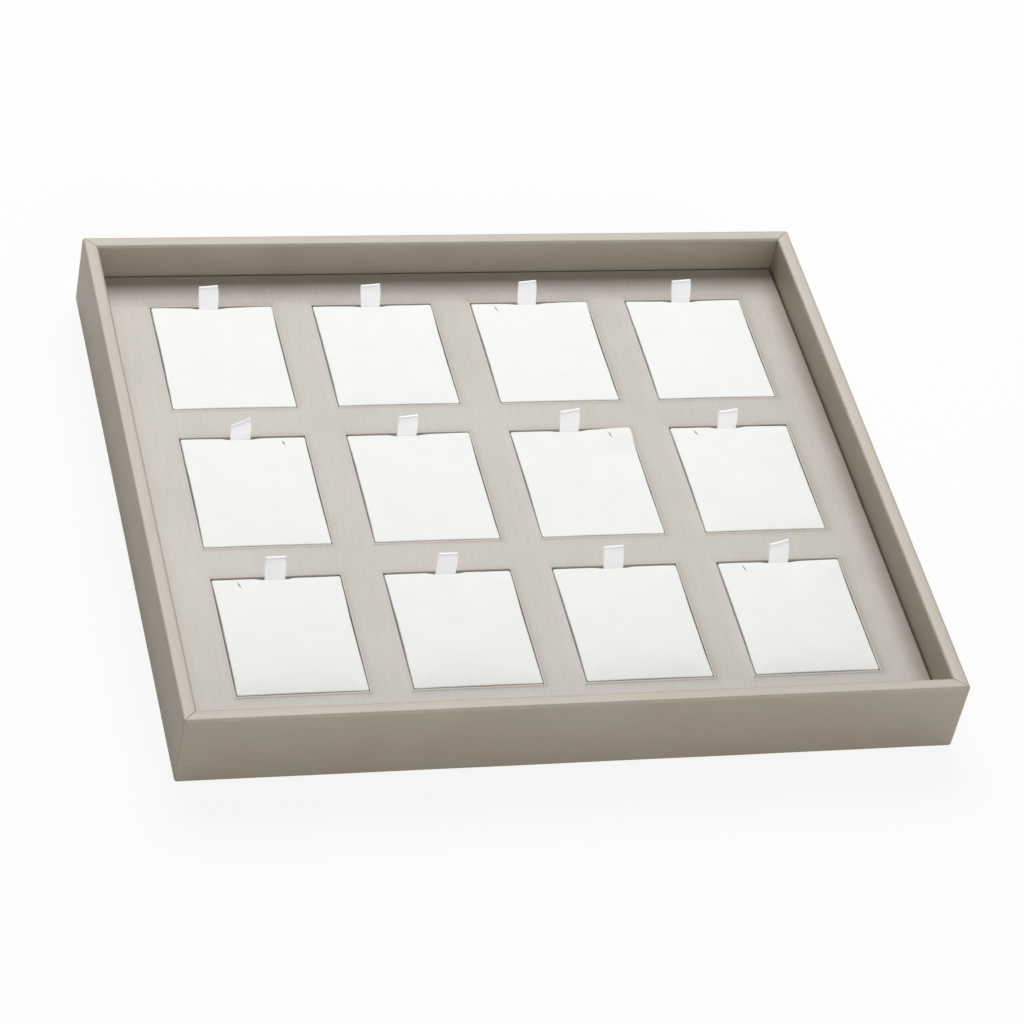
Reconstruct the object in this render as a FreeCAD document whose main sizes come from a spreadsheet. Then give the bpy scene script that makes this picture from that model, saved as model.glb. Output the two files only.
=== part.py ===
import FreeCAD, Part
import os

import Sketcher

# Jewelry tray: a shallow mitred tray wrapped in leatherette, with a padded insert whose
# windows hold twelve small earring pads. Each pad lifts straight out by its ribbon tab.
# Frame: origin at the centre of the underside, X across the width, Y to the back, Z up.

row_names = "abc"
column_names = "1234"

# Driving sizes in millimetres.
driving_sizes = [
    # Earring pad, measured over its cover.
    ("pad_width", "37.3"),
    ("pad_length", "45.2"),
    ("pad_crown", "1.0"),
    ("pad_edge_drop", "0.4"),
    ("pad_board_thickness", "2.5"),
    ("side_draw_in", "0.35"),
    ("pad_edge_bevel", "1.0"),
    ("flap_width", "7.0"),
    # Earring slits at the back of each pad.
    ("slit_length", "4.2"),
    ("slit_width", "0.35"),
    ("slit_lean", "1.0"),
    ("slit_side_inset", "7.0"),
    ("slit_back_inset", "0.2"),
    # Ribbon tab behind each pad.
    ("ribbon_width", "6.0"),
    ("ribbon_thickness", "0.25"),
    ("tab_height", "9.0"),
    ("tab_fold_depth", "1.4"),
    ("tab_bend_radius", "0.3"),
    ("tab_gap", "0.1"),
    ("tail_length", "8.0"),
    ("notch_gap", "0.4"),
    # Clearances of a pad in its window.
    ("pad_side_gap", "0.5"),
    ("pad_front_gap", "0.3"),
    ("pad_back_gap", "1.2"),
    # Insert.
    ("rail_width", "12.7"),
    ("side_border", "14.65"),
    ("end_border", "15.05"),
    ("block_thickness", "8.4"),
    ("insert_gap", "0.3"),
    ("insert_edge_radius", "0.6"),
    # Tray.
    ("overall_height", "25.0"),
    ("board_thickness", "3.0"),
    ("base_thickness", "3.0"),
    ("cover_thickness", "0.7"),
    ("board_rim_radius", "0.5"),
    ("board_foot_radius", "0.3"),
    ("turn_under", "11.0"),
    ("lining_proud", "0.2"),
    ("lining_gap", "0.3"),
    # Extra reach of every cut past the solid that it cuts.
    ("overrun", "2.0"),
]

# Sizes that follow from the driving ones.
following_sizes = [
    ("window_width", "=pad_width + 2 * pad_side_gap"),
    ("window_length", "=pad_length + pad_front_gap + pad_back_gap"),
    ("pitch_across", "=window_width + rail_width"),
    ("pitch_back", "=window_length + rail_width"),
    ("pad_shift", "=(pad_back_gap - pad_front_gap) / 2"),
    ("wall_width", "=board_thickness + 2 * cover_thickness"),
    ("insert_width", "=%d * pitch_across - rail_width + 2 * side_border" % len(column_names)),
    ("insert_length", "=%d * pitch_back - rail_width + 2 * end_border" % len(row_names)),
    ("overall_width", "=insert_width + 2 * insert_gap + 2 * wall_width"),
    ("overall_depth", "=insert_length + 2 * insert_gap + 2 * wall_width"),
    ("base_width", "=overall_width - 2 * (wall_width - cover_thickness)"),
    ("base_depth", "=overall_depth - 2 * (wall_width - cover_thickness)"),
    ("lining_thickness", "=cover_thickness + lining_proud"),
    ("lining_width", "=overall_width - 2 * (turn_under + lining_gap)"),
    ("lining_depth", "=overall_depth - 2 * (turn_under + lining_gap)"),
    ("base_top", "=lining_thickness + base_thickness"),
    ("rim_radius", "=board_rim_radius + cover_thickness"),
    ("foot_radius", "=board_foot_radius + cover_thickness"),
    ("mitre_reach", "=turn_under + overrun"),
    ("insert_thickness", "=block_thickness + cover_thickness"),
    ("pad_edge_height", "=insert_thickness - pad_edge_drop"),
    ("pad_height", "=pad_edge_height + pad_crown"),
    ("half_diagonal", "=sqrt(pad_width^2 + pad_length^2) / 2"),
    ("crown_radius", "=(half_diagonal^2 + pad_crown^2) / (2 * pad_crown)"),
    ("crown_centre", "=pad_height - crown_radius"),
    ("crown_reach", "=half_diagonal + overrun"),
    ("side_middle", "=pad_width / 2 - side_draw_in"),
    ("side_height", "=crown_centre + sqrt(crown_radius^2 - side_middle^2)"),
    ("end_middle", "=pad_length / 2 - side_draw_in"),
    ("end_height", "=crown_centre + sqrt(crown_radius^2 - end_middle^2)"),
    ("core_width", "=pad_width - 2 * (side_draw_in + cover_thickness)"),
    ("core_length", "=pad_length - 2 * (side_draw_in + cover_thickness)"),
    ("core_crown_radius", "=crown_radius - cover_thickness"),
    ("foam_bottom", "=cover_thickness + pad_board_thickness"),
    ("pad_back", "=pad_length / 2 - side_draw_in"),
    ("stem_thickness", "=2 * ribbon_thickness"),
    ("stem_front", "=pad_back + tab_gap"),
    ("stem_middle", "=stem_front + ribbon_thickness"),
    ("stem_back", "=stem_front + stem_thickness"),
    ("bend_outer_radius", "=tab_bend_radius + stem_thickness"),
    ("tail_bottom", "=cover_thickness - stem_thickness"),
    ("tail_end", "=pad_back - tail_length"),
    ("fold_radius", "=tab_fold_depth / 2"),
    ("loop_radius", "=fold_radius - ribbon_thickness"),
    ("tab_top", "=pad_edge_height + tab_height"),
    ("fold_height", "=tab_top - fold_radius"),
    ("notch_half_width", "=ribbon_width / 2 + notch_gap"),
    ("opening_half_width", "=pad_width / 2 - flap_width"),
    ("opening_half_length", "=pad_length / 2 - flap_width"),
]

doc = FreeCAD.newDocument("jewelry_tray")
sheet = doc.addObject("Spreadsheet::Sheet", "sizes")
for number, (name, text) in enumerate(driving_sizes + following_sizes, 1):
    sheet.set("A%d" % number, name)
    sheet.set("B%d" % number, text)
    sheet.setAlias("B%d" % number, name)
doc.recompute()


def value(expression):
    return float(sheet.evalExpression(expression))


# Sketches


def new_sketch(body, name, plane_role, height=None):
    planes = [plane for plane in body.Origin.OriginFeatures if plane.Role == plane_role]
    sketch = body.newObject("Sketcher::SketchObject", name)
    sketch.AttachmentSupport = [(planes[0], "")]
    sketch.MapMode = "FlatFace"
    if height:
        sketch.setExpression("AttachmentOffset.Base.z", height)
    return sketch


def hold_point(sketch, edge, end, place):
    for kind, axis, expression in zip(("DistanceX", "DistanceY"), (-2, -1), place):
        if expression == "0":
            sketch.addConstraint(Sketcher.Constraint("PointOnObject", edge, end, axis))
        else:
            distance = Sketcher.Constraint(kind, -1, 1, edge, end, value(expression))
            index = sketch.addConstraint(distance)
            sketch.setExpression("Constraints[%d]" % index, expression)


def arc_between(start, end, radius, side):
    # side is 1 where the arc swells to the left of the way from start to end, or -1
    chord = end - start
    sagitta = radius - (radius ** 2 - (chord.Length / 2) ** 2) ** 0.5
    across = FreeCAD.Vector(-chord.y, chord.x, 0).normalize()
    return Part.Arc(start, (start + end) / 2 + across * side * sagitta, end)


def draw_outline(sketch, corners, arcs=None):
    # corners are pairs of expressions; arcs gives, by edge number, a radius and a side
    arcs = arcs or {}
    points = [FreeCAD.Vector(value(x), value(y), 0) for x, y in corners]
    edges = []
    for number, start in enumerate(points):
        end = points[(number + 1) % len(points)]
        if number in arcs:
            radius, side = arcs[number]
            index = sketch.addGeometry(arc_between(start, end, value(radius), side), False)
            bend = sketch.addConstraint(Sketcher.Constraint("Radius", index, value(radius)))
            sketch.setExpression("Constraints[%d]" % bend, radius)
        else:
            index = sketch.addGeometry(Part.LineSegment(start, end), False)
        first = sketch.getPoint(index, 1)
        turned = first.distanceToPoint(start) > first.distanceToPoint(end)
        edges.append((index, 2, 1) if turned else (index, 1, 2))
    for number, (index, first, last) in enumerate(edges):
        following = edges[(number + 1) % len(edges)]
        sketch.addConstraint(
            Sketcher.Constraint("Coincident", index, last, following[0], following[1])
        )
        hold_point(sketch, index, first, corners[number])


def draw_rectangle(sketch, left, front, right, back):
    draw_outline(sketch, [(left, front), (right, front), (right, back), (left, back)])


def draw_centred_rectangle(sketch, width, length):
    draw_rectangle(
        sketch, "-%s / 2" % width, "-%s / 2" % length, "%s / 2" % width, "%s / 2" % length
    )


# Features


def add_pad(body, sketch, length, symmetric=False):
    feature = body.newObject("PartDesign::Pad", sketch.Name + "_pad")
    feature.Profile = sketch
    feature.setExpression("Length", length)
    if symmetric:
        feature.SideType = "Symmetric"
    doc.recompute()
    return feature


def add_pocket(body, sketch, depth=None, reverse=False):
    before = body.Shape.Volume
    feature = body.newObject("PartDesign::Pocket", sketch.Name + "_pocket")
    feature.Profile = sketch
    feature.Reversed = reverse
    if depth:
        feature.setExpression("Length", depth)
    else:
        feature.Type = "ThroughAll"
        feature.SideType = "Symmetric"
    doc.recompute()
    check_cut(feature, before)
    return feature


def add_groove(body, sketch, axis_ends, angle):
    before = body.Shape.Volume
    points = [FreeCAD.Vector(value(x), value(y), 0) for x, y in axis_ends]
    axis = sketch.addGeometry(Part.LineSegment(*points), True)
    for end, place in enumerate(axis_ends, 1):
        hold_point(sketch, axis, end, place)
    feature = body.newObject("PartDesign::Groove", sketch.Name + "_groove")
    feature.Profile = sketch
    feature.ReferenceAxis = (sketch, ["Axis0"])
    feature.Midplane = True
    feature.setExpression("Angle", angle)
    doc.recompute()
    check_cut(feature, before)
    return feature


def check_cut(feature, before):
    if not feature.Shape.Volume < before:
        raise RuntimeError("%s cuts nothing" % feature.Name)


def add_fillet(body, base, names, radius):
    feature = body.newObject("PartDesign::Fillet", base.Name + "_round")
    feature.Base = (base, names)
    feature.setExpression("Radius", radius)
    doc.recompute()
    return feature


def edges_nearest(base, places):
    edges = base.Shape.Edges
    names = []
    for place in places:
        target = FreeCAD.Vector(*[value(expression) for expression in place])
        distances = [edge.CenterOfMass.distanceToPoint(target) for edge in edges]
        names.append("Edge%d" % (distances.index(min(distances)) + 1))
    return names


def top_face(base):
    heights = [face.CenterOfMass.z for face in base.Shape.Faces]
    return "Face%d" % (heights.index(max(heights)) + 1)


def place_at(item, x="0", y="0", z="0"):
    for axis, expression in zip("xyz", (x, y, z)):
        item.setExpression("Placement.Base." + axis, expression)


# Tray walls, drawn with the outer face on the X axis and the inside towards +Y

walls = {
    "front_wall": ("sizes.overall_width", "0", "-sizes.overall_depth / 2"),
    "back_wall": ("sizes.overall_width", "0", "sizes.overall_depth / 2"),
    "left_wall": ("sizes.overall_depth", "-sizes.overall_width / 2", "0"),
    "right_wall": ("sizes.overall_depth", "sizes.overall_width / 2", "0"),
}


def mitre_ends(body, name, length):
    sketch = new_sketch(body, name + "_mitre", "XY_Plane")
    for sign in ("", "-"):
        past_end = "%s(%s / 2 + sizes.overrun)" % (sign, length)
        inner_end = "%s(%s / 2 - sizes.mitre_reach)" % (sign, length)
        draw_outline(
            sketch,
            [
                (past_end, "-sizes.overrun"),
                (past_end, "sizes.mitre_reach"),
                (inner_end, "sizes.mitre_reach"),
            ],
        )
    add_pocket(body, sketch)


def stand_wall(body, name):
    # The drawn inside turns to the centre of the tray.
    _, x, y = walls[name]
    inward = FreeCAD.Vector(-value(x), -value(y), 0)
    upright = FreeCAD.Vector(0, 0, 1)
    turn = FreeCAD.Rotation(FreeCAD.Vector(), inward, upright, "ZYX")
    body.Placement = FreeCAD.Placement(FreeCAD.Vector(), turn)
    place_at(body, x, y)


def build_wall(name):
    length = walls[name][0]
    outer = "sizes.cover_thickness"
    inner = "sizes.wall_width - sizes.cover_thickness"
    bottom = "sizes.lining_thickness"
    top = "sizes.overall_height - sizes.cover_thickness"
    body = doc.addObject("PartDesign::Body", name)
    sketch = new_sketch(body, name + "_section", "YZ_Plane")
    draw_rectangle(sketch, outer, bottom, inner, top)
    bar = add_pad(body, sketch, length, symmetric=True)
    rim = edges_nearest(bar, [("0", outer, top), ("0", inner, top)])
    rounded = add_fillet(body, bar, rim, "sizes.board_rim_radius")
    foot = edges_nearest(rounded, [("0", outer, bottom)])
    add_fillet(body, rounded, foot, "sizes.board_foot_radius")
    mitre_ends(body, name, length)
    stand_wall(body, name)
    return body


def build_wall_cover(wall_name):
    # One strip of leatherette: turned under the foot, up the outside, over the rim and
    # down the inside to the base board.
    name = wall_name + "_cover"
    length = walls[wall_name][0]
    skin = "sizes.cover_thickness"
    wall = "sizes.wall_width"
    wall_inside = "sizes.wall_width - sizes.cover_thickness"
    foot = "sizes.lining_proud"
    bottom = "sizes.lining_thickness"
    top = "sizes.overall_height"
    under_top = "sizes.overall_height - sizes.cover_thickness"
    body = doc.addObject("PartDesign::Body", name)
    sketch = new_sketch(body, name + "_section", "YZ_Plane")
    draw_outline(
        sketch,
        [
            ("0", foot),
            ("sizes.turn_under", foot),
            ("sizes.turn_under", bottom),
            (skin, bottom),
            (skin, under_top),
            (wall_inside, under_top),
            (wall_inside, "sizes.base_top"),
            (wall, "sizes.base_top"),
            (wall, top),
            ("0", top),
        ],
    )
    feature = add_pad(body, sketch, length, symmetric=True)
    rounds = [
        ([("0", "0", top), ("0", wall, top)], "sizes.rim_radius"),
        ([("0", skin, under_top), ("0", wall_inside, under_top)], "sizes.board_rim_radius"),
        ([("0", "0", foot)], "sizes.foot_radius"),
        ([("0", skin, bottom)], "sizes.board_foot_radius"),
    ]
    for places, radius in rounds:
        feature = add_fillet(body, feature, edges_nearest(feature, places), radius)
    mitre_ends(body, name, length)
    stand_wall(body, wall_name)
    return body


def build_sheet(name, width, length, thickness, height):
    body = doc.addObject("PartDesign::Body", name)
    sketch = new_sketch(body, name + "_outline", "XY_Plane")
    draw_centred_rectangle(sketch, width, length)
    add_pad(body, sketch, thickness)
    place_at(body, z=height)
    return body


# Insert: a die-cut foam block and the leatherette that lines its top, edges and windows


def grid_places():
    for row, row_name in enumerate(row_names):
        for column, column_name in enumerate(column_names):
            across = column - (len(column_names) - 1) / 2
            back = (len(row_names) - 1) / 2 - row
            x = "%s * sizes.pitch_across" % across
            y = "%s * sizes.pitch_back" % back
            yield row_name + column_name, x, y


def build_windowed_block(name, skin, thickness):
    # skin is how far the block stays inside the finished insert on every side
    width = "(sizes.insert_width - 2 * %s)" % skin
    length = "(sizes.insert_length - 2 * %s)" % skin
    half_width = "(sizes.window_width / 2 + %s)" % skin
    half_length = "(sizes.window_length / 2 + %s)" % skin
    body = doc.addObject("PartDesign::Body", name)
    sketch = new_sketch(body, name + "_outline", "XY_Plane")
    draw_centred_rectangle(sketch, width, length)
    for _, x, y in grid_places():
        left = "%s - %s" % (x, half_width)
        right = "%s + %s" % (x, half_width)
        front = "%s - %s" % (y, half_length)
        back = "%s + %s" % (y, half_length)
        draw_rectangle(sketch, left, front, right, back)
    add_pad(body, sketch, thickness)
    place_at(body, z="sizes.base_top")
    return body


def build_insert():
    block = build_windowed_block("insert_block", "sizes.cover_thickness", "sizes.block_thickness")
    form = build_windowed_block("insert_form", "0", "sizes.insert_thickness")
    add_fillet(form, form.Tip, [top_face(form.Tip)], "sizes.insert_edge_radius")
    cover = doc.addObject("Part::Cut", "insert_cover")
    cover.Base = form
    cover.Tool = block
    doc.recompute()
    return block, cover


# Earring pad, drawn once about its own centre with its underside at zero height


def cut_crown(body, radius):
    # Everything above a wide dome is turned away, about an axis far below the pad.
    reach = "sizes.crown_reach"
    centre = "sizes.crown_centre"
    dome_end = "%s + sqrt(%s^2 - %s^2)" % (centre, radius, reach)
    above = "sizes.pad_height + sizes.overrun"
    sketch = new_sketch(body, body.Name + "_crown", "XZ_Plane")
    draw_outline(
        sketch,
        [("-" + reach, dome_end), (reach, dome_end), (reach, above), ("-" + reach, above)],
        {0: (radius, 1)},
    )
    axis = [("-" + reach, centre), (reach, centre)]
    add_groove(body, sketch, axis, "2 * asin(%s / %s)" % (reach, radius))


def draw_pad_outline(sketch):
    # The four sides are drawn in a little between the corners.
    half_width = "sizes.pad_width / 2"
    half_length = "sizes.pad_length / 2"
    radius = "(((%s)^2 + sizes.side_draw_in^2) / (2 * sizes.side_draw_in))"
    across = radius % half_width
    along = radius % half_length
    draw_outline(
        sketch,
        [
            ("-" + half_width, "-" + half_length),
            (half_width, "-" + half_length),
            (half_width, half_length),
            ("-" + half_width, half_length),
        ],
        {0: (across, 1), 1: (along, 1), 2: (across, 1), 3: (along, 1)},
    )


def bevel_edges(body, edge, plane_role):
    # Both top edges of one pair of sides, each cut away by an even slope.
    middle = "sizes.%s_middle" % edge
    height = "sizes.%s_height" % edge
    reach = "(sizes.pad_edge_bevel + sizes.overrun)"
    sketch = new_sketch(body, "%s_%s_bevel" % (body.Name, edge), plane_role)
    for sign in ("", "-"):
        beyond = "%s(%s + sizes.overrun)" % (sign, middle)
        draw_outline(
            sketch,
            [
                ("%s(%s - %s)" % (sign, middle, reach), height + " + sizes.overrun"),
                (beyond, "%s - %s" % (height, reach)),
                (beyond, height + " + sizes.overrun"),
            ],
        )
    add_pocket(body, sketch)


def build_foam():
    body = doc.addObject("PartDesign::Body", "pad_foam")
    sketch = new_sketch(body, "pad_foam_outline", "XY_Plane", "sizes.foam_bottom")
    draw_centred_rectangle(sketch, "sizes.core_width", "sizes.core_length")
    add_pad(body, sketch, "sizes.pad_height - sizes.foam_bottom")
    cut_crown(body, "sizes.core_crown_radius")
    return body


def build_pad_board():
    body = doc.addObject("PartDesign::Body", "pad_board")
    sketch = new_sketch(body, "pad_board_outline", "XY_Plane", "sizes.cover_thickness")
    draw_centred_rectangle(sketch, "sizes.core_width", "sizes.core_length")
    add_pad(body, sketch, "sizes.pad_board_thickness")
    return body


def build_pad_cover(filling):
    # Wrapped leatherette: crowned top, bevelled edges, flaps turned under the board with a
    # notch at the back for the ribbon, and two earring slits.
    half_width = "sizes.pad_width / 2"
    half_length = "sizes.pad_length / 2"
    form = doc.addObject("PartDesign::Body", "pad_form")
    sketch = new_sketch(form, "pad_form_outline", "XY_Plane")
    draw_pad_outline(sketch)
    add_pad(form, sketch, "sizes.pad_height")
    cut_crown(form, "sizes.crown_radius")
    bevel_edges(form, "side", "XZ_Plane")
    bevel_edges(form, "end", "YZ_Plane")

    flaps = new_sketch(form, "pad_flaps", "XY_Plane")
    behind = half_length + " + sizes.overrun"
    draw_outline(
        flaps,
        [
            ("-sizes.opening_half_width", "-sizes.opening_half_length"),
            ("sizes.opening_half_width", "-sizes.opening_half_length"),
            ("sizes.opening_half_width", "sizes.opening_half_length"),
            ("sizes.notch_half_width", "sizes.opening_half_length"),
            ("sizes.notch_half_width", behind),
            ("-sizes.notch_half_width", behind),
            ("-sizes.notch_half_width", "sizes.opening_half_length"),
            ("-sizes.opening_half_width", "sizes.opening_half_length"),
        ],
    )
    add_pocket(form, flaps, "sizes.cover_thickness", reverse=True)

    slits = new_sketch(form, "pad_slits", "XY_Plane", "sizes.pad_height")
    slit_back = "sizes.core_length / 2 - sizes.slit_back_inset"
    slit_front = slit_back + " - sizes.slit_length"
    for sign in ("", "-"):
        middle = "%s(%s - sizes.slit_side_inset)" % (sign, half_width)
        draw_outline(
            slits,
            [
                (middle + " - (sizes.slit_lean + sizes.slit_width) / 2", slit_back),
                (middle + " + (sizes.slit_lean - sizes.slit_width) / 2", slit_front),
                (middle + " + (sizes.slit_lean + sizes.slit_width) / 2", slit_front),
                (middle + " - (sizes.slit_lean - sizes.slit_width) / 2", slit_back),
            ],
        )
    add_pocket(form, slits, "sizes.pad_crown + sizes.cover_thickness")

    cover = doc.addObject("Part::Cut", "pad_cover")
    cover.Base = form
    cover.Tool = filling
    doc.recompute()
    return cover


def build_pad_tab():
    # Doubled ribbon: the tail is glued under the board, the stem rises behind the pad and
    # its two plies open into a small loop at the fold.
    bend_low = "sizes.tail_bottom + sizes.bend_outer_radius"
    body = doc.addObject("PartDesign::Body", "pad_tab")
    sketch = new_sketch(body, "pad_tab_profile", "YZ_Plane")
    draw_outline(
        sketch,
        [
            ("sizes.tail_end", "sizes.tail_bottom"),
            ("sizes.stem_back - sizes.bend_outer_radius", "sizes.tail_bottom"),
            ("sizes.stem_back", bend_low),
            ("sizes.stem_back", "sizes.pad_height"),
            ("sizes.stem_middle + sizes.fold_radius", "sizes.fold_height"),
            ("sizes.stem_middle", "sizes.tab_top"),
            ("sizes.stem_middle - sizes.fold_radius", "sizes.fold_height"),
            ("sizes.stem_front", "sizes.pad_height"),
            ("sizes.stem_front", bend_low),
            ("sizes.stem_front - sizes.tab_bend_radius", "sizes.cover_thickness"),
            ("sizes.tail_end", "sizes.cover_thickness"),
        ],
        {
            1: ("sizes.bend_outer_radius", -1),
            4: ("sizes.fold_radius", -1),
            5: ("sizes.fold_radius", -1),
            8: ("sizes.tab_bend_radius", 1),
        },
    )
    draw_outline(
        sketch,
        [
            ("sizes.stem_middle", "sizes.pad_height"),
            ("sizes.stem_middle + sizes.loop_radius", "sizes.fold_height"),
            ("sizes.stem_middle", "sizes.fold_height + sizes.loop_radius"),
            ("sizes.stem_middle - sizes.loop_radius", "sizes.fold_height"),
        ],
        {1: ("sizes.loop_radius", -1), 2: ("sizes.loop_radius", -1)},
    )
    add_pad(body, sketch, "sizes.ribbon_width", symmetric=True)
    return body


def place_copies(pieces):
    copies = []
    for place, x, y in grid_places():
        for piece, original in pieces.items():
            name = "pad_%s_%s" % (place, piece)
            copy = doc.addObject("App::Link", name)
            copy.LinkedObject = original
            place_at(copy, x, y + " - sizes.pad_shift", "sizes.base_top")
            copies.append((name, copy))
    return copies


sub_parts = []
for wall_name in walls:
    sub_parts.append((wall_name, build_wall(wall_name)))
    sub_parts.append((wall_name + "_cover", build_wall_cover(wall_name)))
sub_parts.append(
    (
        "base_board",
        build_sheet(
            "base_board",
            "sizes.base_width",
            "sizes.base_depth",
            "sizes.base_thickness",
            "sizes.lining_thickness",
        ),
    )
)
sub_parts.append(
    (
        "bottom_lining",
        build_sheet(
            "bottom_lining", "sizes.lining_width", "sizes.lining_depth", "sizes.lining_thickness", "0"
        ),
    )
)
insert_block, insert_cover = build_insert()
sub_parts.append(("insert_block", insert_block))
sub_parts.append(("insert_cover", insert_cover))
pad_board = build_pad_board()
pad_foam = build_foam()
filling = doc.addObject("Part::Fuse", "pad_filling")
filling.Base = pad_board
filling.Tool = pad_foam
sub_parts += place_copies(
    {
        "board": pad_board,
        "foam": pad_foam,
        "cover": build_pad_cover(filling),
        "tab": build_pad_tab(),
    }
)
doc.recompute()

for item in doc.Objects:
    if "Invalid" in item.State or "Error" in item.State:
        raise RuntimeError("%s is %s" % (item.Name, item.State))
for name, item in sub_parts:
    item.Label = name
    shape = item.Shape
    if shape.isNull() or not shape.isValid() or len(shape.Solids) != 1:
        raise RuntimeError("%s has no single valid solid" % name)

os.makedirs("parts", exist_ok=True)
for name, item in sub_parts:
    item.Shape.exportStep(os.path.join("parts", item.Label + ".step"))
print("%d sub-parts written" % len(sub_parts))
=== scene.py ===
import math

import bpy
from mathutils import Matrix, Vector, noise


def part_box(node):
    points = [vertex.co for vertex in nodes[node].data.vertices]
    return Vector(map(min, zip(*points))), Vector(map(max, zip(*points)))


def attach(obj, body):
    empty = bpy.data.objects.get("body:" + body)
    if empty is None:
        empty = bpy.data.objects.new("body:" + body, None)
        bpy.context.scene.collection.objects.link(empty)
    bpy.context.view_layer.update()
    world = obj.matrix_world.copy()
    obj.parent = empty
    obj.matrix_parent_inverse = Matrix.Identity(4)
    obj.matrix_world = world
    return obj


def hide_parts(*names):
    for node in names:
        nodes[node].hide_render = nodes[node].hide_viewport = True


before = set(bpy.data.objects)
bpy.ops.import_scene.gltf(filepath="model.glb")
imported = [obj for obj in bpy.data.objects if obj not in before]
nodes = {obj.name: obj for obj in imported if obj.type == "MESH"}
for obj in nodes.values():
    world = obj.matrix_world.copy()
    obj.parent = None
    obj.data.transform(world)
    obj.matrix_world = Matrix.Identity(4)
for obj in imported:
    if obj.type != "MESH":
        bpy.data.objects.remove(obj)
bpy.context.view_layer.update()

# Jewelry tray with twelve lift-out earring pads. All lengths are in metres.
mm = 0.001
scene = bpy.context.scene
padNames = [row + column for row in "abc" for column in "1234"]


def linear(hexColour):
    channels = [int(hexColour[i:i + 2], 16) / 255 for i in (1, 3, 5)]
    return [c / 12.92 if c <= 0.04045 else ((c + 0.055) / 1.055) ** 2.4 for c in channels] + [1.0]


def addNode(tree, kind, values=None, links=None, stops=None, **settings):
    # values go to the node's own sockets, links are socket: (node, its output)
    node = tree.nodes.new(kind)
    for key, value in settings.items():
        setattr(node, key, value)
    for key, value in (values or {}).items():
        node.inputs[key].default_value = value
    for key, (source, output) in (links or {}).items():
        tree.links.new(source.outputs[output], node.inputs[key])
    if stops:
        ramp = node.color_ramp.elements
        for element, (place, colour) in zip(ramp, stops):
            element.position, element.color = place, colour
    return node


def newMaterial(name):
    material = bpy.data.materials.new(name)
    material.use_nodes = True
    return material, material.node_tree, material.node_tree.nodes["Principled BSDF"]


def wobble(x, y, z, size, seed=0.0):
    # smooth noise from -1 to 1 whose lumps are about size across
    return noise.noise(Vector((x / size + seed * 7.31, y / size - seed * 3.17, z / size + seed)))


def smooth(low, high, x):
    t = min(1.0, max(0.0, (x - low) / (high - low)))
    return t * t * (3 - 2 * t)


def addPiece(name, points, faces, material, sharpAngle=None):
    mesh = bpy.data.meshes.new(name)
    mesh.from_pydata(points, [], faces)
    mesh.validate()
    mesh.materials.append(material)
    mesh.shade_smooth()
    if sharpAngle:
        mesh.set_sharp_from_angle(angle=math.radians(sharpAngle))
    piece = bpy.data.objects.new(name, mesh)
    scene.collection.objects.link(piece)
    return piece


def setIn(piece, body, slot, *stoodFor):
    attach(piece, body)
    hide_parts(*stoodFor)


# Camera
view = {
    "place": (-0.3101, -0.8200, 0.7996),
    "azimuth": 20.97,
    "elevation": 42.28,
    "roll": 12.77,
    "lens": 137.94,
}
camera = bpy.data.objects.new("camera", bpy.data.cameras.new("camera"))
camera.data.lens = view["lens"]
camera.data.sensor_width = 36
camera.matrix_world = (
    Matrix.Translation(view["place"])
    @ Matrix.Rotation(math.radians(-view["azimuth"]), 4, "Z")
    @ Matrix.Rotation(math.radians(90 - view["elevation"]), 4, "X")
    @ Matrix.Rotation(math.radians(view["roll"]), 4, "Z")
)
scene.collection.objects.link(camera)
scene.camera = camera
scene.view_settings.view_transform = "Standard"
print("camera set")

# Studio: white sweep, a softbox above and behind, a weaker broad one in front, a faint even fill
studio = {
    "floorSize": 6.0,
    "floorColour": "#f6f6f6",
    "floorRoughness": 0.9,
    "floorShine": 0.1,
    "floorWhite": 0.88,
    "fillStrength": 0.13,
    # name: place, width and height, power
    "softboxes": {
        "softboxBehind": ((0.06, 1.10, 1.37), (1.7, 1.0), 31.0),
        "softboxInFront": ((0.30, -1.40, 0.45), (1.8, 0.8), 9.6),
    },
}
half = studio["floorSize"] / 2
floorMaterial, tree, shader = newMaterial("whiteStudioSweep")
shader.inputs["Base Color"].default_value = linear(studio["floorColour"])
shader.inputs["Roughness"].default_value = studio["floorRoughness"]
shader.inputs["Specular IOR Level"].default_value = studio["floorShine"]
# seen straight on the sweep is nearly plain white, with a faint shadow left
seenWhite = addNode(tree, "ShaderNodeEmission", {"Color": (1, 1, 1, 1), "Strength": 1.0})
rays = addNode(tree, "ShaderNodeLightPath")
share = addNode(
    tree, "ShaderNodeMath", {1: studio["floorWhite"]}, {0: (rays, "Is Camera Ray")}, operation="MULTIPLY"
)
blend = addNode(tree, "ShaderNodeMixShader", links={0: (share, 0), 1: (shader, 0), 2: (seenWhite, 0)})
tree.links.new(blend.outputs[0], tree.nodes["Material Output"].inputs["Surface"])
floor = addPiece(
    "studio_floor",
    [(-half, -half, 0), (half, -half, 0), (half, half, 0), (-half, half, 0)],
    [(0, 1, 2, 3)],
    floorMaterial,
)

world = bpy.data.worlds.new("studioFill")
scene.world = world
world.use_nodes = True
tree = world.node_tree
fill = tree.nodes["Background"]
fill.inputs["Color"].default_value = (1, 1, 1, 1)
fill.inputs["Strength"].default_value = studio["fillStrength"]
backdrop = addNode(tree, "ShaderNodeBackground", {"Color": (1, 1, 1, 1), "Strength": 1.0})
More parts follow.
